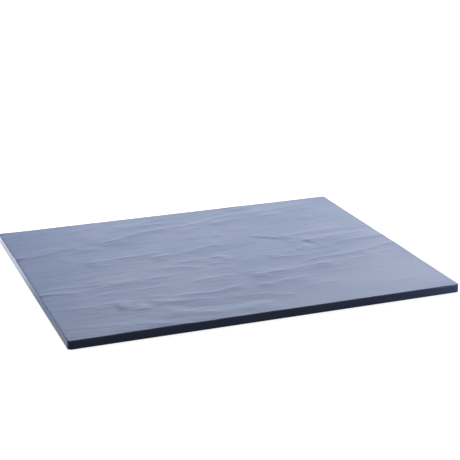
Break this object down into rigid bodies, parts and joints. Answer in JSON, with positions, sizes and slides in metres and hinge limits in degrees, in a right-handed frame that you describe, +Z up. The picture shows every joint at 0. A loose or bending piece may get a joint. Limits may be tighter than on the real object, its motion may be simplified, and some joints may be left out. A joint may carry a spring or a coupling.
{
  "type": "serving board",
  "caption": "Flat rectangular melamine serving board in dark slate grey, with a riven slate relief on top, plain square edges and round non-slip feet under its corners.",
  "frame": {"origin": "on the table below the middle of the board, at the level of the soles of the feet", "axes": "+X along the length to the right, +Y along the width to the back, +Z up out of the riven face"},
  "size_m": [0.325, 0.265, 0.0088],
  "materials": {
    "melamine": "satin, moulded with a riven slate relief",
    "silicone": "matt"
  },
  "bodies": {
    "root": {"board": "melamine", "foot_front_left": "silicone", "foot_front_right": "silicone", "foot_back_left": "silicone", "foot_back_right": "silicone"}
  },
  "joints": []
}
